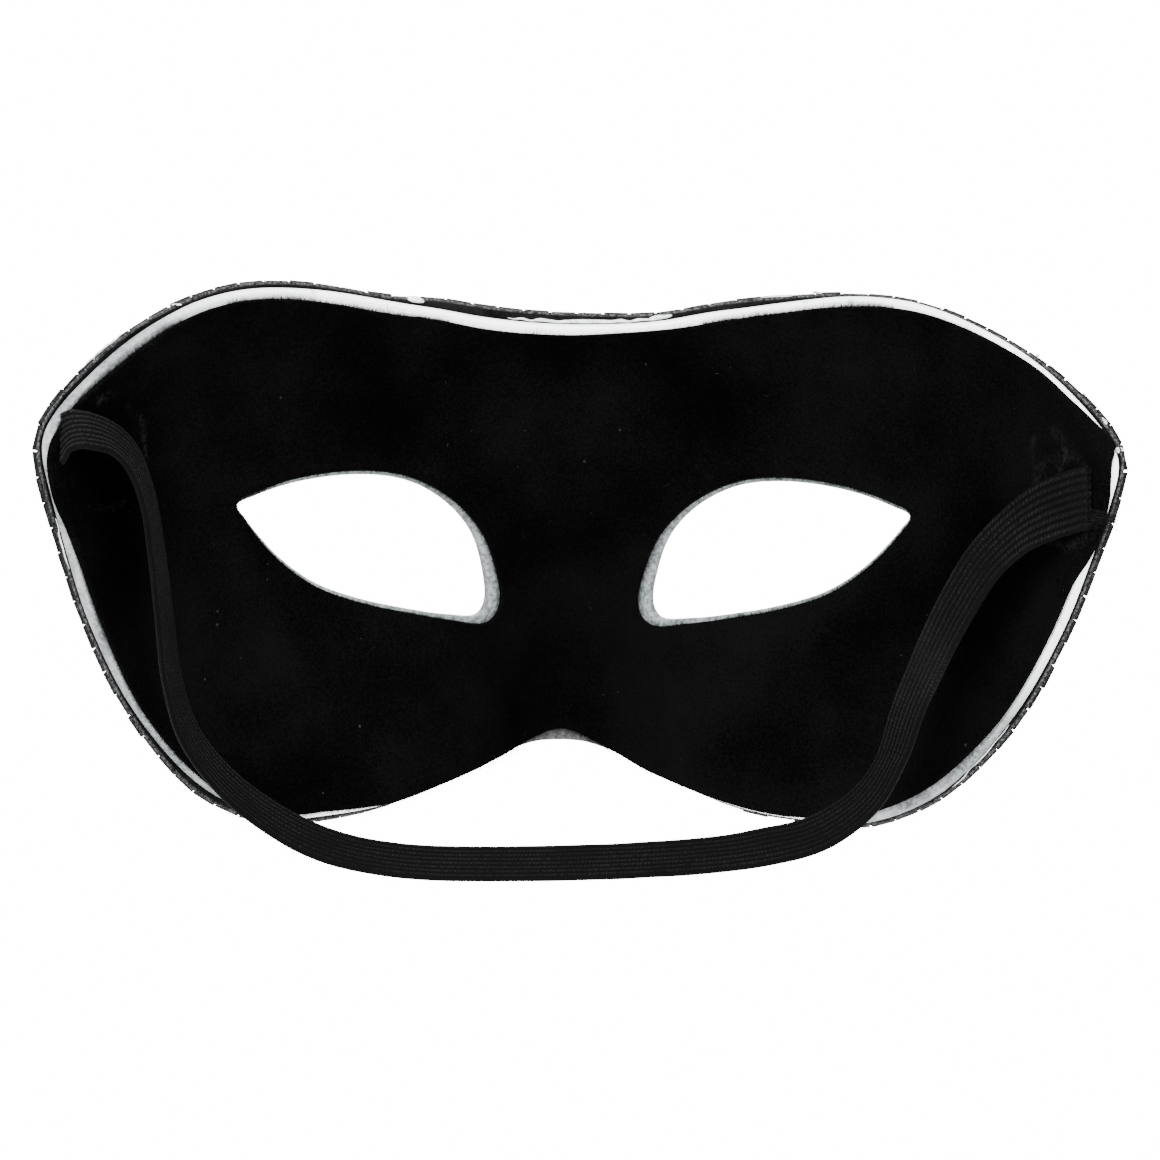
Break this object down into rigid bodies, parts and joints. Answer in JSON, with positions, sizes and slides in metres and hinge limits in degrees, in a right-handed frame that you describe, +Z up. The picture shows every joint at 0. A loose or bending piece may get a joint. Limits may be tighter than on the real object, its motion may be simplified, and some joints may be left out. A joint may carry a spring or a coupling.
{
  "type": "costume eye mask",
  "caption": "Half-face costume eye mask with almond eye holes, a nose arch, a velvet lining, a tiled front and a flat elastic strap fastened at both temples.",
  "frame": {"origin": "the seat on the nose bridge, on the wearer's side of the lining, in the middle of the mask at the height of the eyes", "axes": "+X to the wearer's left along the width, +Y towards the wearer, +Z up. The front of the mask faces -Y."},
  "size_m": [0.1714, 0.0715, 0.0953],
  "materials": {
    "shell": "white moulded shell, matt, slightly rough on its cut edges",
    "lining": "black velvet with a short dense nap and a little lint",
    "front_cover": "small black tiles with pale joints, smooth",
    "elastic": "black braided elastic with ribs along its length"
  },
  "bodies": {
    "root": {"shell": "shell", "lining": "lining", "front_cover": "front_cover", "elastic_strap": "elastic"}
  },
  "joints": []
}
